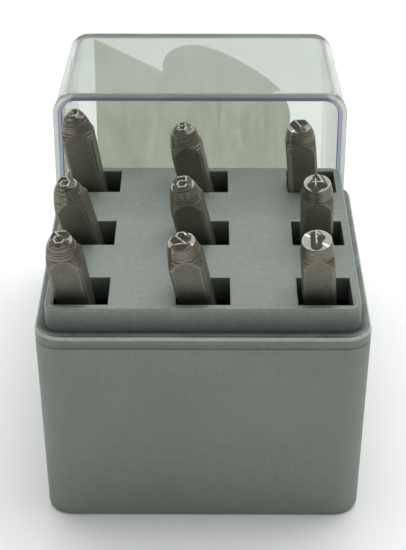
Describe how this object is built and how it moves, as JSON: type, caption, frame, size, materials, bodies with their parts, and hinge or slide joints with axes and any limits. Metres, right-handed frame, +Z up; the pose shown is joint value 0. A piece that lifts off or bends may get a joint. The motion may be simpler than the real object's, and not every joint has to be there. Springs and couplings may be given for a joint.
{
  "type": "boxed number stamp set",
  "caption": "Square grey box whose pierced top plate holds loose square steel number stamps, with a deep clear lid stood on its side behind it.",
  "frame": {"origin": "centre of the tub's flat underside", "axes": "+Z up, +Y towards the lid standing behind the tub, +X to the right as seen from the front"},
  "size_m": [0.0647, 0.1036, 0.0644],
  "materials": {
    "tub_plastic": "fine-textured matte moulded polystyrene, grey with a green cast",
    "rack_plastic": "smooth semi-gloss moulded polystyrene, lighter grey",
    "clear_plastic": "clear polystyrene, faint green tint, polished",
    "paper_film": "thin plain paper-backed film, grey-beige, blank",
    "tool_steel": "turned heads, satin shanks, light oil tarnish"
  },
  "bodies": {
    "case": {"case_tub": "tub_plastic", "punch_rack": "rack_plastic"},
    "lid": {"clear_lid": "clear_plastic", "lid_sheet": "paper_film"},
    "stamp_0": {"punch_0": "tool_steel"},
    "stamp_1": {"punch_1": "tool_steel"},
    "stamp_2": {"punch_2": "tool_steel"},
    "stamp_3": {"punch_3": "tool_steel"},
    "stamp_4": {"punch_4": "tool_steel"},
    "stamp_5": {"punch_5": "tool_steel"},
    "stamp_6": {"punch_6": "tool_steel"},
    "stamp_7": {"punch_7": "tool_steel"},
    "stamp_8": {"punch_8": "tool_steel"}
  },
  "joints": [
    {"name": "stamp_0_slide", "type": "slide", "parent": "case", "child": "stamp_0", "axis": [-0.1561, -0.062, 0.9858], "range_m": [-0.0015, 0.05]},
    {"name": "stamp_1_slide", "type": "slide", "parent": "case", "child": "stamp_1", "axis": [-0.0791, -0.2614, 0.962], "range_m": [0, 0.05]},
    {"name": "stamp_2_slide", "type": "slide", "parent": "case", "child": "stamp_2", "axis": [-0.1762, -0.2548, 0.9508], "range_m": [0, 0.05]},
    {"name": "stamp_3_slide", "type": "slide", "parent": "case", "child": "stamp_3", "axis": [-0.1227, -0.2602, 0.9577], "range_m": [0, 0.05]},
    {"name": "stamp_4_slide", "type": "slide", "parent": "case", "child": "stamp_4", "axis": [-0.0337, -0.2587, 0.9654], "range_m": [0, 0.05]},
    {"name": "stamp_5_slide", "type": "slide", "parent": "case", "child": "stamp_5", "axis": [-0.188, -0.2509, 0.9496], "range_m": [0, 0.05]},
    {"name": "stamp_6_slide", "type": "slide", "parent": "case", "child": "stamp_6", "axis": [-0.185, -0.2444, 0.9519], "range_m": [0, 0.05]},
    {"name": "stamp_7_slide", "type": "slide", "parent": "case", "child": "stamp_7", "axis": [-0.0903, -0.0833, 0.9924], "range_m": [0, 0.05]},
    {"name": "stamp_8_slide", "type": "slide", "parent": "case", "child": "stamp_8", "axis": [-0.2038, -0.0836, 0.9754], "range_m": [0, 0.05]},
    {"name": "lid_lift", "type": "slide", "parent": "case", "child": "lid", "axis": [0, 0.2588, 0.9659], "range_m": [0, 0.12]}
  ]
}
